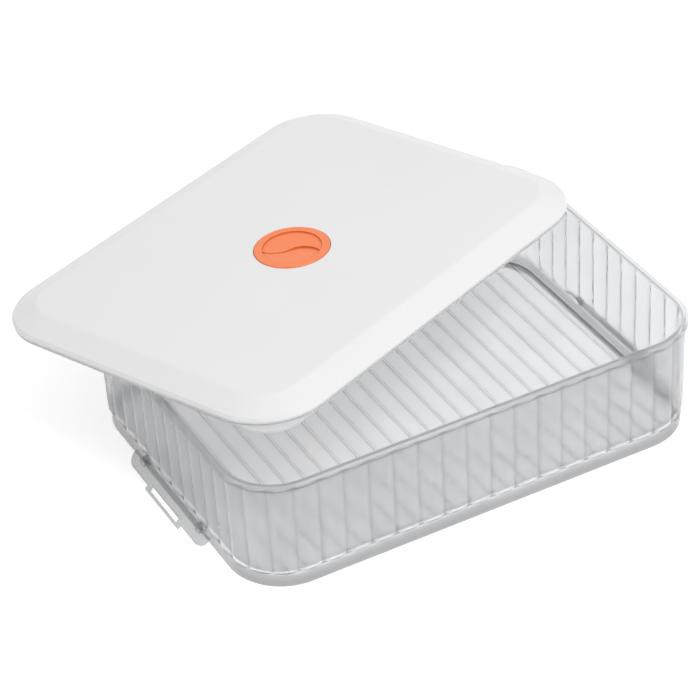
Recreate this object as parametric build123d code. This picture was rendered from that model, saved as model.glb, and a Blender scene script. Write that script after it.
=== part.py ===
from build123d import *
import os
from math import atan2, cos, degrees, pi, radians, sin, sqrt

os.makedirs("parts", exist_ok=True)

# Proofing container: a clear ribbed tray, its lid with a turning vent, and two hinged stacking clips.
# The tray stands on z = 0 with its long side along x and its front towards -y. All lengths are in mm.

# Tray
tray_length = 340.0
tray_depth = 256.0
tray_height = 84.0
rim_radius = 41.0
rim_height = 4.5
rim_width = 3.4
rim_edge = 0.9
seat_drop = 1.5
wall = 1.8
crest_inset = 1.8
flute_depth = 2.4
wall_draft = 0.8
flute_base = 12.5
rib_total = 63
rib_phase = 0.245
spine_inset = 2.0
band_inset = 3.6
band_corner = 39.6
inner_inset = 6.0
floor_top = 8.0
floor_thickness = 2.0
floor_edge = 4.4
foot_inset = 7.2
foot_edge = 1.8
floor_rib_total = 24
floor_rib_start = 16.35
floor_rib_width = 1.2
floor_rib_height = 0.7
floor_rib_inset = 13.0

# Stacking clips
clip_axis_out = 2.8
clip_axis_z = 10.5
clip_rest_angle = 44.0
clip_forward = 8.0
clip_half_width = 54.4
clip_reach = 8.9
clip_above_axis = 1.0
clip_thickness = 2.0
clip_corner = 7.6
grip_half_width = 24.1
grip_reach = 12.4
grip_edge = 0.8
grip_bar = 2.0
slot_end = 4.0
slot_height = 3.6
barrel_radius = 2.0
pintle_radius = 1.2
pintle_length = 4.0
pintle_clearance = 0.05
bore_depth = 4.4
lug_start = 38.5
lug_width = 5.0
lug_radius = 2.5
lug_edge = 1.0
lug_side_gap = 0.3
lug_swing_gap = 0.6

# Lid
lid_end_inset = 1.8
lid_corner = 43.5
lid_wall = 2.0
seal_height = 2.6
skirt_top = 5.4
bevel_inset = 17.4
bevel_height = 7.8
lid_edge = 1.4
crease_edge = 1.0
stiffener_inset = 46.5
stiffener_width = 1.6
stiffener_height = 6.4

# Seal frame
seal_edge_gap = 0.4
seal_inner_inset = 8.4
seal_upstand_width = 2.0
seal_upstand_height = 1.2
lip_gap = 0.3
lip_width = 2.5
lip_drop = 1.2
tab_corner = 25.0
tab_recess = 0.8
tab_recess_inset = 0.4

# Vent
vent_x = -2.5
vent_y = -2.5
dish_radius = 26.5
dish_depth = 4.5
dish_wall = 2.0
stem_gap = 0.1
air_slot_total = 2
air_slot_start = 10.0
air_slot_length = 9.0
air_slot_width = 3.8
gasket_thickness = 1.0
gasket_gap = 1.5
gasket_slot_gap = 0.4
dial_gap = 0.5
dial_proud = 0.5
dial_lift = 0.05
dial_edge = 0.4
recess_margin = 5.5
far_recess_depth = 0.9
near_recess_depth = 1.9
recess_curve_shares = ((-0.966, -0.259), (-0.550, -0.325), (-0.173, -0.179), (0.070, 0.045),
                       (0.400, 0.150), (0.750, 0.070), (0.990, -0.130))
channel_width = 5.0
channel_depth = 1.1
channel_start = 8.0
stem_radius = 4.5
stem_tail = 2.0
retainer_radius = 8.0
retainer_gap = 0.1
dial_turn = 61.6
open_turn = 60.0

# How the lid lies on the tray in the rest pose
lid_yaw = 22.19
corner_contact_angle = 77.72
lid_slide = 26.39
rest_gap = 0.5

# Length by which every cutting body runs past the surface that it opens
overrun = 1.0

# Sizes that follow from the ones above
lid_length = tray_length - 2 * lid_end_inset
lid_depth = tray_depth
lip_outer_inset = rim_width + lip_gap
lip_inner_inset = lip_outer_inset + lip_width
floor_rib_pitch = (tray_length - 2 * floor_rib_start) / (floor_rib_total - 1)
clip_axis_x = tray_length / 2 - band_inset + clip_axis_out
slot_half_width = grip_half_width - slot_end
stem_hole_radius = stem_radius + stem_gap
gasket_radius = dish_radius - gasket_gap
dial_radius = dish_radius - dial_gap
recess_radius = dial_radius - recess_margin
vent_place = Pos(vent_x, vent_y, 0)


def rounded(length, depth, radius, inset, z):
    """Rounded rectangle, moved inwards by inset, as a face at height z."""
    outline = RectangleRounded(length - 2 * inset, depth - 2 * inset, radius - inset)
    return Pos(0, 0, z) * outline


def tray_slab(inset, z_low, z_high):
    """Plain block with the tray's outline between two heights."""
    return extrude(rounded(tray_length, tray_depth, rim_radius, inset, z_low), z_high - z_low)


def lid_slab(inset, z_low, z_high):
    """Plain block with the lid's outline between two heights, in the lid's own frame."""
    return extrude(rounded(lid_length, lid_depth, lid_corner, inset, z_low), z_high - z_low)


def spine_at(share):
    """Corner-centre point and outward normal at a share of the way round, from the front's middle."""
    half_x = tray_length / 2 - rim_radius
    half_y = tray_depth / 2 - rim_radius
    bend = pi / 2 * (rim_radius - spine_inset)
    quarter = half_x + half_y + bend
    turn = int(share * 4) % 4
    run = (share * 4 - int(share * 4)) * quarter
    first, second = (half_x, half_y) if turn % 2 == 0 else (half_y, half_x)
    if run < first:
        local, angle = Vector(run, -second), -90.0
    elif run < first + bend:
        local, angle = Vector(first, -second), -90.0 + 90.0 * (run - first) / bend
    else:
        local, angle = Vector(first, run - first - bend - second), 0.0
    normal = Vector(cos(radians(angle)), sin(radians(angle)))
    return local.rotate(Axis.Z, 90.0 * turn), normal.rotate(Axis.Z, 90.0 * turn)


def ring_point(share, inset, z):
    """Point of the wall at a share of the way round and a distance inside the rim's outline."""
    spine, normal = spine_at(share)
    flat = spine + normal * (rim_radius - inset)
    return Vector(flat.X, flat.Y, z)


def rib_points(index):
    """Valley, crest and next valley of one outward rib, at the foot of the ribs."""
    inset = crest_inset + wall_draft
    valley = inset + flute_depth
    following = (index + 1) % rib_total
    start = ring_point((index + rib_phase) / rib_total, valley, flute_base)
    crest = ring_point((index + rib_phase + 1 / 2) / rib_total, inset, flute_base)
    end = ring_point((following + rib_phase) / rib_total, valley, flute_base)
    return start, crest, end


def fluted_wall():
    """Solid block with the ribbed outline, one arc for each rib, that widens upwards by the draft."""
    outline = Face(Wire([ThreePointArc(*rib_points(index)).edge() for index in range(rib_total)]))
    height = tray_height - rim_height - flute_base
    slope = degrees(atan2(wall_draft, height))
    return extrude(outline, height + rim_height / 2, taper=-slope)


def base_band():
    """Smooth band and foot below the ribs, with its bevelled lower edge."""
    outline = RectangleRounded(tray_length - 2 * band_inset, tray_depth - 2 * band_inset, band_corner)
    band = extrude(outline, flute_base)
    return chamfer(band.edges().group_by(Axis.Z)[0], foot_edge)


def rim_lip():
    """Plain lip round the top, with bevelled upper and lower outer edges."""
    lip = tray_slab(0, tray_height - rim_height, tray_height)
    lip = chamfer(lip.edges().group_by(Axis.Z)[-1], rim_edge)
    return chamfer(lip.edges().group_by(Axis.Z)[0], rim_edge)


def floor_ribs():
    """Low ribs from front to back on the floor, ended along the floor's outline."""
    low = floor_top - floor_thickness / 2
    height = floor_rib_height + floor_thickness / 2
    ribs = [Pos(floor_rib_pitch * (index - (floor_rib_total - 1) / 2), 0, low)
            * Box(floor_rib_width, tray_depth, height, align=(Align.CENTER, Align.CENTER, Align.MIN))
            for index in range(floor_rib_total)]
    field = tray_slab(floor_rib_inset, 0, tray_height)
    return [rib & field for rib in ribs]


def clip_lugs(side):
    """The two lugs that carry one clip on the side of the sign given, with blind bores for its pintles."""
    root = tray_length / 2 - band_inset - wall / 2
    reach = clip_axis_x + lug_radius - root
    bore = Rot(90, 0, 0) * Cylinder(pintle_radius + pintle_clearance, bore_depth + overrun)
    lugs = []
    for end in (-1, 1):
        place = Pos(side * (root + reach / 2), end * (lug_start + lug_width / 2), clip_axis_z)
        lug = place * Box(reach, lug_width, 2 * lug_radius)
        lug = chamfer(lug.edges().filter_by(Axis.Y).sort_by(Axis.X)[::side][-2:], lug_edge)
        lug -= Pos(side * clip_axis_x, end * (lug_start + (bore_depth - overrun) / 2), clip_axis_z) * bore
        lugs.append(Pos(0, -clip_forward, 0) * lug)
    return lugs


def inside():
    """Smooth inside of the tray up to the lid's seat, with its bevelled lower edge."""
    height = tray_height - seat_drop + overrun - floor_top
    slope = degrees(atan2(wall_draft, tray_height - rim_height - flute_base))
    low = rounded(tray_length, tray_depth, rim_radius, inner_inset + wall_draft, floor_top)
    pan = extrude(low, height, taper=-slope)
    return chamfer(pan.edges().group_by(Axis.Z)[0], floor_edge)


def tray_part():
    """The whole tray in one piece."""
    shell = base_band() + fluted_wall() + rim_lip() - inside()
    shell -= tray_slab(rim_width, tray_height - seat_drop, tray_height + overrun)
    shell -= tray_slab(foot_inset, -overrun, floor_top - floor_thickness)
    return shell + floor_ribs() + clip_lugs(-1) + clip_lugs(1)


def clip_plate():
    """Plate of a clip, hanging straight down from its hinge axis, which is y."""
    height = clip_above_axis + clip_reach
    plate = Pos(0, 0, (clip_above_axis - clip_reach) / 2) * Box(clip_thickness, 2 * clip_half_width, height)
    lower = plate.edges().filter_by(Axis.X).group_by(Axis.Z)[0]
    plate = fillet(lower, clip_corner)
    grip_height = grip_reach - clip_corner
    grip = Pos(0, 0, -(grip_reach + clip_corner) / 2) * Box(clip_thickness, 2 * grip_half_width, grip_height)
    grip = fillet(grip.edges().filter_by(Axis.Y).group_by(Axis.Z)[0], grip_edge)
    plate = plate + grip
    slot_z = -(grip_reach - grip_bar - slot_height / 2)
    return plate - Pos(0, 0, slot_z) * Box(clip_thickness + 2 * overrun, 2 * slot_half_width, slot_height)


def clip_part(side):
    """One clip in its rest pose on the side of the sign given."""
    clip = clip_plate()
    along = Rot(90, 0, 0)
    notch_width = lug_width + 2 * lug_side_gap
    notch_low = lug_radius + lug_swing_gap
    for end in (-1, 1):
        middle = Pos(0, end * (lug_start + lug_width / 2), (clip_above_axis + overrun - notch_low) / 2)
        clip -= middle * Box(clip_thickness + 2 * overrun, notch_width, notch_low + clip_above_axis + overrun)
    barrel_end = lug_start - lug_side_gap
    clip += along * Cylinder(barrel_radius, 2 * barrel_end)
    pintle_end = barrel_end + pintle_length
    clip += along * Cylinder(pintle_radius, 2 * pintle_end)
    return Pos(side * clip_axis_x, -clip_forward, clip_axis_z) * Rot(0, -side * clip_rest_angle, 0) * clip


def bevel_slab(low_inset, z_low, z_high):
    """Block that narrows at the bevel's slope from one height to another."""
    slope = degrees(atan2(bevel_inset, bevel_height))
    return extrude(rounded(lid_length, lid_depth, lid_corner, low_inset, z_low), z_high - z_low, taper=slope)


def plateau_top():
    """Height of the lid's flat top in its own frame."""
    return skirt_top + bevel_height


def lid_hollow():
    """Hollow of the lid's shell, at a constant thickness behind skirt, bevel and top."""
    grade = bevel_height / bevel_inset
    slant = lid_wall * sqrt(1 + grade * grade)
    shoulder = skirt_top - slant + grade * lid_wall
    skirt = lid_slab(lid_wall, seal_height - overrun, shoulder)
    return skirt + bevel_slab(lid_wall, shoulder, plateau_top() - lid_wall)


def lid_stiffener():
    """Ring-shaped rib under the lid's flat top."""
    top = plateau_top() - lid_wall / 2
    low = plateau_top() - lid_wall - stiffener_height
    ring = RectangleRounded(lid_length - 2 * stiffener_inset, lid_depth - 2 * stiffener_inset,
                            lid_corner - bevel_inset)
    inner = RectangleRounded(lid_length - 2 * stiffener_inset - 2 * stiffener_width,
                             lid_depth - 2 * stiffener_inset - 2 * stiffener_width,
                             lid_corner - bevel_inset - stiffener_width)
    return Pos(0, 0, low) * extrude(ring - inner, top - low)


def air_slots(gap, z_low, z_high):
    """Radial slots round the vent's axis, which the dial uncovers at the end of its turn."""
    slot = Pos(air_slot_start + air_slot_length / 2, 0, (z_low + z_high) / 2)
    slot *= Box(air_slot_length + 2 * gap, air_slot_width + 2 * gap, z_high - z_low)
    first = open_turn - dial_turn
    return [Rot(0, 0, first + index * 360 / air_slot_total) * slot for index in range(air_slot_total)]


def disc(radius, z_low, z_high):
    """Round block on the vent's axis between two heights."""
    return Pos(0, 0, (z_low + z_high) / 2) * Cylinder(radius, z_high - z_low)


def lid_cover():
    """Lid shell with its vent dish, in the lid's own frame."""
    shell = lid_slab(0, seal_height, skirt_top) + bevel_slab(0, skirt_top, plateau_top())
    shell = chamfer(shell.edges().group_by(Axis.Z)[2], lid_edge)
    shell = chamfer(shell.edges().group_by(Axis.Z)[-1], crease_edge)
    shell = shell - lid_hollow()
    dish_floor = plateau_top() - dish_depth
    below = dish_floor - dish_wall
    shell = shell + lid_stiffener() + vent_place * disc(dish_radius + dish_wall, below, plateau_top())
    openings = [disc(dish_radius, dish_floor, plateau_top() + overrun),
                disc(stem_hole_radius, below - overrun, plateau_top()),
                *air_slots(0, below - overrun, plateau_top())]
    return shell - [vent_place * opening for opening in openings]


def tab_outline(inset, z):
    """Outline of the seal frame, whose front left corner is less rounded and so forms the tab."""
    frame = rounded(lid_length, lid_depth, lid_corner, inset, z)
    corner = rounded(lid_length, lid_depth, tab_corner, inset, z)
    quarter = Pos(-lid_length / 2, -lid_depth / 2, z) * Rectangle(2 * lid_corner, 2 * lid_corner)
    return frame + (corner & quarter)


def lid_seal():
    """Sealing frame under the lid's edge, in the lid's own frame."""
    frame = extrude(tab_outline(seal_edge_gap, 0), seal_height)
    recess_low = seal_height - tab_recess
    recess = extrude(tab_outline(0, recess_low), tab_recess + overrun)
    frame -= recess - lid_slab(tab_recess_inset, recess_low, seal_height + overrun)
    frame -= lid_slab(seal_inner_inset, -overrun, seal_height + overrun)
    upstand = lid_slab(lid_wall, seal_height, seal_height + seal_upstand_height)
    upstand -= lid_slab(lid_wall + seal_upstand_width, seal_height - overrun, skirt_top)
    lip = lid_slab(lip_outer_inset, -lip_drop, 0) - lid_slab(lip_inner_inset, -lip_drop - overrun, overrun)
    return frame + upstand + lip


def vent_gasket():
    """Soft disc on the dish's floor, with holes for the air and the stem."""
    low = plateau_top() - dish_depth
    gasket = disc(gasket_radius, low, low + gasket_thickness)
    gasket -= disc(stem_hole_radius, low - overrun, low + gasket_thickness + overrun)
    return vent_place * (gasket - air_slots(gasket_slot_gap, low - overrun, low + gasket_thickness + overrun))


def recess_half(side, z_low, z_high):
    """Half of the round recess, on the far side (1) or near side (-1) of the S-shaped edge across it."""
    curve = [Vector(x_share, y_share) * recess_radius for x_share, y_share in recess_curve_shares]
    rim = ThreePointArc(curve[-1], Vector(0, side * recess_radius), curve[0])
    return extrude(Pos(0, 0, z_low) * make_face(Spline(*curve) + rim), z_high - z_low)


def finger_recess(top):
    """Recess for the finger: level on the far side, and on the near side a ramp down to the S-shaped edge."""
    far = recess_half(1, top - far_recess_depth, top + overrun)
    near = recess_half(-1, top - 2 * near_recess_depth, top + overrun)
    slope = degrees(atan2(near_recess_depth, recess_radius))
    span = 4 * recess_radius
    above = Box(span, span, span, align=(Align.CENTER, Align.CENTER, Align.MIN))
    return far + (near & Pos(0, -recess_radius, top) * Rot(-slope, 0, 0) * above)


def vent_dial():
    """Turning dial with stem, in the lid's own frame."""
    low = plateau_top() - dish_depth + gasket_thickness + dial_lift
    top = plateau_top() + dial_proud
    dial = disc(dial_radius, low, top)
    dial = chamfer(dial.edges().group_by(Axis.Z)[-1], dial_edge)
    dial -= finger_recess(top)
    for index in range(air_slot_total):
        length = dial_radius - channel_start + overrun
        place = Rot(0, 0, index * 360 / air_slot_total) * Pos(channel_start + length / 2, 0, low)
        dial -= place * Box(length, channel_width, 2 * channel_depth)
    stem_low = plateau_top() - dish_depth - dish_wall - retainer_gap - stem_tail
    return vent_place * Rot(0, 0, -dial_turn) * (dial + disc(stem_radius, stem_low, low + channel_depth))


def vent_retainer():
    """Cap pressed on the stem's end below the lid."""
    high = plateau_top() - dish_depth - dish_wall - retainer_gap
    cap = disc(retainer_radius, high - stem_tail, high)
    return vent_place * (cap - disc(stem_radius, high - stem_tail - overrun, high + overrun))


def lip_line():
    """Distance from the lid's middle to the centre of the lip on its short sides."""
    return lid_length / 2 - (lip_outer_inset + lip_inner_inset) / 2


def back_contact():
    """Point of the tray's back right rim corner that the lid's right lip lies on."""
    reach = rim_radius - rim_width / 2
    swing = radians(corner_contact_angle)
    return Vector(tray_length / 2 - rim_radius + reach * cos(swing),
                  tray_depth / 2 - rim_radius + reach * sin(swing), tray_height + rest_gap)


def left_contact():
    """Point of the tray's left rim that the lid's left lip then crosses, as seen from above."""
    turn = radians(lid_yaw)
    back = back_contact()
    rim = -(tray_length - rim_width) / 2
    along = ((back.X - rim) * cos(turn) - 2 * lip_line()) / sin(turn)
    return Vector(rim, back.Y + along, tray_height + rest_gap)


def lid_middle():
    """Middle of the lid's lip above the tray while the lid is still level."""
    turn = radians(lid_yaw)
    back = back_contact()
    return Vector(back.X - lip_line() * cos(turn) - lid_slide * sin(turn),
                  back.Y - lip_line() * sin(turn) + lid_slide * cos(turn), back.Z)


def tip_angle():
    """Angle by which the lid tips backwards until its stiffener meets the rim's back left corner."""
    left = left_contact()
    line = (back_contact() - left).normalized()
    corner = Vector(rim_radius - tray_length / 2, tray_depth / 2 - rim_radius, left.Z) - left
    reach = line.X * corner.Y - line.Y * corner.X + rim_radius
    rise = lip_drop + plateau_top() - lid_wall - stiffener_height
    return degrees(atan2(rise, reach))


def rest_on_tray(piece):
    """Move a piece from the lid's own frame to the lid's rest pose, tipped about its two contacts."""
    level = Pos(lid_middle()) * Pos(0, 0, lip_drop) * Rot(0, 0, lid_yaw) * piece
    line = Axis(left_contact(), back_contact() - left_contact())
    return level.rotate(line, -tip_angle())


def pieces():
    """Every piece in the rest pose, by its node's name, with the tray's middle on the z axis."""
    return {
        "tray": tray_part(),
        "clip_left": clip_part(-1),
        "clip_right": clip_part(1),
        "lid_cover": rest_on_tray(lid_cover()),
        "lid_seal": rest_on_tray(lid_seal()),
        "vent_gasket": rest_on_tray(vent_gasket()),
        "vent_dial": rest_on_tray(vent_dial()),
        "vent_retainer": rest_on_tray(vent_retainer()),
    }


# The origin is the middle of the bottom of the box round all pieces, lid included
placed = pieces()
middle = Compound(list(placed.values())).bounding_box().center()
for node, piece in placed.items():
    export_step(Pos(-middle.X, -middle.Y, 0) * piece, f"parts/{node}.step")
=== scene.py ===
import bpy
from mathutils import Matrix, Vector


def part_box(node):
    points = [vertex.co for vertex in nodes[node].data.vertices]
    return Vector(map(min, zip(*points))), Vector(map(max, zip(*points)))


# Looks of the proofing container: clear fluted tray, white lid and orange vent. Lengths are in metres.

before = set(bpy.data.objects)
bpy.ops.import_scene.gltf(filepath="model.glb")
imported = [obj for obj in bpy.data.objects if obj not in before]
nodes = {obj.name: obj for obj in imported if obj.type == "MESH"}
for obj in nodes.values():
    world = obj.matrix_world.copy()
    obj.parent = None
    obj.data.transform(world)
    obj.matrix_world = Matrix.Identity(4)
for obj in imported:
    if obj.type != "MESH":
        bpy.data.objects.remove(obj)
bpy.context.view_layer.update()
scene = bpy.context.scene

# The tray's smooth foot band, measured from the tray's middle, on which shade is painted into the colour
foot_half_sizes = (0.1664, 0.1244)
foot_corner = 0.040
foot_skin = 0.005
foot_slack = 0.0005
foot_shade_fade_top = 0.017
foot_shade_fade_low = 0.0051

# Reach of the painted shade in a valley, on the fluted tray and in the grooves of opaque pieces
flute_shade_reach = 0.0045
groove_shade_reach = 0.003

# Openness, from 1 on a free face, at which the painted shade in a valley starts and is at its darkest
valley_shade_start = 0.93
valley_shade_full = 0.6

# Range that a noise texture mostly stays in
noise_low = 0.3
noise_high = 0.7

# Share of the light that the clear plastic lets straight through
light_share = 0.95

# Brightness of the room for rays that light the object, and the rest up to white where it is seen
room_light = 0.69
room_seen = 0.31
floor_seen = 0.48


# Node helpers

def new_material(name):
    """Material with an empty node tree and an output."""
    material = bpy.data.materials.new(name)
    material.use_nodes = True
    tree = material.node_tree
    tree.nodes.clear()
    output = tree.nodes.new("ShaderNodeOutputMaterial")
    return material, tree, output


def principled(tree, **values):
    """Principled shader with the sockets named."""
    shader = tree.nodes.new("ShaderNodeBsdfPrincipled")
    for key, value in values.items():
        shader.inputs[key].default_value = value
    return shader


def calculate(tree, operation, first, second=0.0, third=None):
    """Math node on a socket; the second value is a number or a socket, the third a number."""
    node = tree.nodes.new("ShaderNodeMath")
    node.operation = operation
    tree.links.new(first, node.inputs[0])
    if isinstance(second, float):
        node.inputs[1].default_value = second
    else:
        tree.links.new(second, node.inputs[1])
    if third is not None:
        node.inputs[2].default_value = third
    return node.outputs[0]


def map_range(tree, value, from_low, from_high, to_low=0.0, to_high=1.0):
    """Value mapped from one range to another, kept inside it."""
    node = tree.nodes.new("ShaderNodeMapRange")
    node.inputs["From Min"].default_value = from_low
    node.inputs["From Max"].default_value = from_high
    node.inputs["To Min"].default_value = to_low
    node.inputs["To Max"].default_value = to_high
    tree.links.new(value, node.inputs["Value"])
    return node.outputs["Result"]


def noise(tree, scale, detail=2.0, rough=0.5, stretch=(1.0, 1.0, 1.0)):
    """Noise in the object's own frame."""
    place = tree.nodes.new("ShaderNodeTexCoord")
    mapping = tree.nodes.new("ShaderNodeMapping")
    mapping.inputs["Scale"].default_value = stretch
    texture = tree.nodes.new("ShaderNodeTexNoise")
    texture.inputs["Scale"].default_value = scale
    texture.inputs["Detail"].default_value = detail
    texture.inputs["Roughness"].default_value = rough
    tree.links.new(place.outputs["Object"], mapping.inputs["Vector"])
    tree.links.new(mapping.outputs["Vector"], texture.inputs["Vector"])
    return texture.outputs["Fac"]


def spread(tree, value, low, high):
    """A noise value mapped to a range."""
    return map_range(tree, value, noise_low, noise_high, low, high)


def blend_colours(tree, value, first, second):
    """Colour between two by a noise value."""
    ramp = tree.nodes.new("ShaderNodeValToRGB")
    ramp.color_ramp.elements[0].position = noise_low
    ramp.color_ramp.elements[0].color = (*first, 1.0)
    ramp.color_ramp.elements[1].position = noise_high
    ramp.color_ramp.elements[1].color = (*second, 1.0)
    tree.links.new(value, ramp.inputs["Fac"])
    return ramp.outputs["Color"]


def bump(tree, height, strength, distance):
    """Bump normal from a height."""
    node = tree.nodes.new("ShaderNodeBump")
    node.inputs["Strength"].default_value = strength
    node.inputs["Distance"].default_value = distance
    tree.links.new(height, node.inputs["Height"])
    return node.outputs["Normal"]


def dress(name, material):
    """Give a CAD node its material."""
    mesh = nodes[name].data
    mesh.materials.clear()
    mesh.materials.append(material)


# Materials

def soft_edges(tree, radius, normal):
    """Normal rounded over the moulded edges."""
    node = tree.nodes.new("ShaderNodeBevel")
    node.samples = 6
    node.inputs["Radius"].default_value = radius
    tree.links.new(normal, node.inputs["Normal"])
    return node.outputs["Normal"]


def let_light_in(tree, shader):
    """Let light from lamps and from other surfaces straight through, so that the tray's inside isn't dark."""
    path = tree.nodes.new("ShaderNodeLightPath")
    either = calculate(tree, "MAXIMUM", path.outputs["Is Shadow Ray"], path.outputs["Is Diffuse Ray"])
    through = tree.nodes.new("ShaderNodeBsdfTransparent")
    mixed = tree.nodes.new("ShaderNodeMixShader")
    tree.links.new(calculate(tree, "MULTIPLY", either, light_share), mixed.inputs[0])
    tree.links.new(shader.outputs[0], mixed.inputs[1])
    tree.links.new(through.outputs[0], mixed.inputs[2])
    return mixed.outputs[0]


def paint_foot_shade(tree):
    """1 on the outer skin of the tray's foot band, where painted shade stands in for the shaded ground under
    the tray, fading to 0 above it.
    """
    low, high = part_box("tray")
    middle = (low + high) / 2
    place = tree.nodes.new("ShaderNodeTexCoord")
    parts = tree.nodes.new("ShaderNodeSeparateXYZ")
    tree.links.new(place.outputs["Object"], parts.inputs[0])
    squares = []
    for axis, half in enumerate(foot_half_sizes):
        away = calculate(tree, "ABSOLUTE", calculate(tree, "SUBTRACT", parts.outputs[axis], middle[axis]))
        beyond = calculate(tree, "MAXIMUM", calculate(tree, "SUBTRACT", away, half - foot_corner), 0.0)
        squares.append(calculate(tree, "MULTIPLY", beyond, beyond))
    reach = calculate(tree, "POWER", calculate(tree, "ADD", squares[0], squares[1]), 0.5)
    skin_middle = foot_corner - foot_skin / 2
    skin = calculate(tree, "COMPARE", reach, skin_middle, foot_skin / 2 + foot_slack)
    return calculate(tree, "MULTIPLY", skin, map_range(tree, parts.outputs[2], foot_shade_fade_top, foot_shade_fade_low))


def paint_valley_shade(tree, reach):
    """1 deep in a valley or groove of the outside, 0 on open faces: a mask for painted shade, from ambient
    occlusion.
    """
    node = tree.nodes.new("ShaderNodeAmbientOcclusion")
    node.samples = 6
    node.only_local = True
    node.inputs["Distance"].default_value = reach
    depth = map_range(tree, node.outputs["AO"], valley_shade_start, valley_shade_full)
    outside = calculate(tree, "LESS_THAN", tree.nodes.new("ShaderNodeNewGeometry").outputs["Backfacing"], 0.5)
    return calculate(tree, "MULTIPLY", depth, outside)


def darken(tree, colour, mask, share):
    """Colour times share where the mask is 1."""
    node = tree.nodes.new("ShaderNodeMix")
    node.data_type = "RGBA"
    node.blend_type = "MULTIPLY"
    node.inputs["B"].default_value = (share, share, share, 1.0)
    tree.links.new(mask, node.inputs["Factor"])
    tree.links.new(colour, node.inputs["A"])
    return node.outputs["Result"]


def clear_plastic(name, dark, light, clear, rough, foot=1.0, valley=1.0):
    """Clear moulded plastic: flow waviness, a slight haze, a glossy skin, and painted shade on the foot and
    in the valleys.
    """
    material, tree, output = new_material(name)
    shader = principled(tree, **{"Transmission Weight": clear, "IOR": 1.045, "Subsurface Weight": 1.0})
    shader.inputs["Subsurface Radius"].default_value = (0.008, 0.008, 0.008)
    shader.inputs["Subsurface Scale"].default_value = 1.0
    shader.inputs["Coat Weight"].default_value = 0.6
    shader.inputs["Coat IOR"].default_value = 1.49
    shader.inputs["Coat Roughness"].default_value = 0.06
    wave = noise(tree, 24.0, 2.0, 0.5, (1.0, 1.0, 0.35))
    colour = blend_colours(tree, wave, dark, light)
    # Painted shade: the colour is darkened on the foot band by the foot share.
    if foot < 1.0:
        colour = darken(tree, colour, paint_foot_shade(tree), foot)
    # Painted shade: the colour is darkened in the flute valleys by the valley share.
    if valley < 1.0:
        colour = darken(tree, colour, paint_valley_shade(tree, flute_shade_reach), valley)
    tree.links.new(colour, shader.inputs["Base Color"])
    tree.links.new(spread(tree, noise(tree, 60.0), rough * 0.7, rough * 1.3), shader.inputs["Roughness"])
    waved = bump(tree, wave, 0.08, 0.0015)
    tree.links.new(soft_edges(tree, 0.0011, waved), shader.inputs["Normal"])
    tree.links.new(let_light_in(tree, shader), output.inputs["Surface"])
    return material


def satin_plastic(name, dark, light, rough, grain, subsurface=0.0, groove=1.0):
    """Opaque moulded plastic with a fine spark texture and slight colour drift, with painted shade in its
    grooves.
    """
    material, tree, output = new_material(name)
    shader = principled(tree, **{"IOR": 1.49, "Subsurface Weight": subsurface})
    shader.inputs["Subsurface Radius"].default_value = (0.004, 0.004, 0.004)
    shader.inputs["Subsurface Scale"].default_value = 1.0
    drift = noise(tree, 7.0, 3.0)
    colour = blend_colours(tree, drift, dark, light)
    # Painted shade: the colour is darkened in grooves by the groove share.
    if groove < 1.0:
        colour = darken(tree, colour, paint_valley_shade(tree, groove_shade_reach), groove)
    tree.links.new(colour, shader.inputs["Base Color"])
    tree.links.new(spread(tree, noise(tree, 90.0), rough * 0.9, rough * 1.1), shader.inputs["Roughness"])
    tree.links.new(bump(tree, noise(tree, 2400.0, 3.0, 0.6), grain, 0.0002), shader.inputs["Normal"])
    tree.links.new(shader.outputs[0], output.inputs["Surface"])
    return material


def milky_plastic(name, colour, rough, clear):
    """Translucent soft plastic of the seal frame."""
    material, tree, output = new_material(name)
    shader = principled(tree, **{"IOR": 1.43, "Transmission Weight": clear, "Subsurface Weight": 0.6})
    shader.inputs["Subsurface Radius"].default_value = (0.006, 0.006, 0.006)
    shader.inputs["Subsurface Scale"].default_value = 1.0
    drift = noise(tree, 30.0, 3.0)
    darker = [channel * 0.97 for channel in colour]
    tree.links.new(blend_colours(tree, drift, darker, colour), shader.inputs["Base Color"])
    tree.links.new(spread(tree, noise(tree, 120.0), rough * 0.85, rough * 1.15), shader.inputs["Roughness"])
    tree.links.new(bump(tree, noise(tree, 900.0, 2.0, 0.6), 0.15, 0.0003), shader.inputs["Normal"])
    tree.links.new(shader.outputs[0], output.inputs["Surface"])
    return material


# Painted shade on the tray: its foot band at 0.52 and its flute valleys at 0.4 of the colour.
tray_clear = clear_plastic("tray_clear", (0.675, 0.68, 0.69), (0.725, 0.73, 0.74), 0.94, 0.45, 0.52, 0.4)
# The clip's clear plastic gets a darker colour than the tray's, as painted shade for the shaded ground seen
# through it and its slot.
clip_clear_painted_shade = clear_plastic("clip_clear_painted_shade", (0.49, 0.495, 0.50), (0.54, 0.545, 0.55), 0.9, 0.14)
lid_white = satin_plastic("lid_white", (0.83, 0.83, 0.835), (0.85, 0.85, 0.855), 0.38, 0.25)
# Painted shade in the vent dial's finger recess and grooves, at 0.7 of the colour.
vent_orange = satin_plastic("vent_orange", (0.985, 0.232, 0.07), (1.0, 0.25, 0.085), 0.34, 0.25, 0.08, 0.7)
gasket_soft = satin_plastic("gasket_soft", (0.74, 0.74, 0.73), (0.78, 0.78, 0.77), 0.6, 0.3, 0.2)
seal_milky = milky_plastic("seal_milky", (0.88, 0.89, 0.90), 0.35, 0.35)

dress("tray", tray_clear)
dress("clip_left", clip_clear_painted_shade)
dress("clip_right", clip_clear_painted_shade)
dress("lid_cover", lid_white)
dress("lid_seal", seal_milky)
dress("vent_gasket", gasket_soft)
dress("vent_dial", vent_orange)
dress("vent_retainer", vent_orange)


# Floor, background and lights

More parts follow.
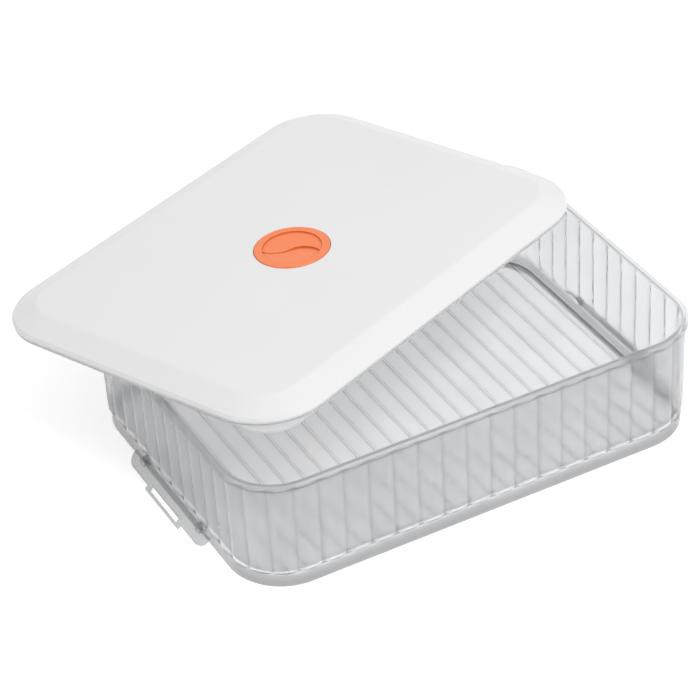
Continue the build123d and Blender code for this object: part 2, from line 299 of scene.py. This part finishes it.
def seen(tree, amount):
    """The amount for rays from the camera, from a mirror or through something clear, and 0 for the rest."""
    path = tree.nodes.new("ShaderNodeLightPath")
    direct = calculate(tree, "MAXIMUM", path.outputs["Is Camera Ray"], path.outputs["Is Glossy Ray"])
    either = calculate(tree, "MAXIMUM", direct, path.outputs["Is Transmission Ray"])
    return calculate(tree, "MULTIPLY", either, amount)


def white_floor():
    """White ground that shows as plain white and keeps the shadow."""
    mesh = bpy.data.meshes.new("floor")
    half = 6.0
    corners = [(-half, -half, 0), (half, -half, 0), (half, half, 0), (-half, half, 0)]
    mesh.from_pydata(corners, [], [(0, 1, 2, 3)])
    floor = bpy.data.objects.new("floor", mesh)
    scene.collection.objects.link(floor)
    material, tree, output = new_material("floor_white")
    matt = tree.nodes.new("ShaderNodeBsdfDiffuse")
    matt.inputs["Color"].default_value = (0.86, 0.86, 0.86, 1.0)
    glow = tree.nodes.new("ShaderNodeEmission")
    glow.inputs["Color"].default_value = (1.0, 1.0, 1.0, 1.0)
    tree.links.new(seen(tree, floor_seen), glow.inputs["Strength"])
    both = tree.nodes.new("ShaderNodeAddShader")
    tree.links.new(matt.outputs[0], both.inputs[0])
    tree.links.new(glow.outputs[0], both.inputs[1])
    tree.links.new(both.outputs[0], output.inputs["Surface"])
    mesh.materials.append(material)


def white_world():
    """World that shows white and lights softly."""
    world = bpy.data.worlds.new("studio")
    world.use_nodes = True
    tree = world.node_tree
    back = tree.nodes["Background"]
    back.inputs["Color"].default_value = (1.0, 1.0, 1.0, 1.0)
    tree.links.new(calculate(tree, "ADD", seen(tree, room_seen), room_light), back.inputs["Strength"])
    scene.world = world


def area_lamp(name, place, aim, size, watts):
    """Soft square lamp."""
    data = bpy.data.lights.new(name, "AREA")
    data.size = size
    data.energy = watts
    lamp = bpy.data.objects.new(name, data)
    lamp.location = place
    lamp.rotation_euler = (Vector(aim) - Vector(place)).to_track_quat("-Z", "Y").to_euler()
    scene.collection.objects.link(lamp)


def photo_camera():
    """Camera at the photograph's place."""
    data = bpy.data.cameras.new("camera")
    data.sensor_width = 36.0
    data.lens = 150.126
    camera = bpy.data.objects.new("camera", data)
    right = (0.8769714, -0.4773994, -0.0548718)
    up = (0.3191240, 0.4932075, 0.8092628)
    back = (-0.3592784, -0.7272112, 0.5848785)
    turn = Matrix((right, up, back)).transposed().to_4x4()
    tray_low, tray_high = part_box("tray")
    tray_middle = (tray_low + tray_high) / 2
    place = Vector((tray_middle.x - 0.7194539, tray_middle.y - 1.3965480, 1.1894128))
    camera.matrix_world = Matrix.Translation(place) @ turn
    scene.collection.objects.link(camera)
    scene.camera = camera


white_floor()
white_world()
area_lamp("key", (0.45, -1.0, 1.65), (0.0, 0.0, 0.05), 1.0, 13.8)
photo_camera()

scene.view_settings.view_transform = "Standard"
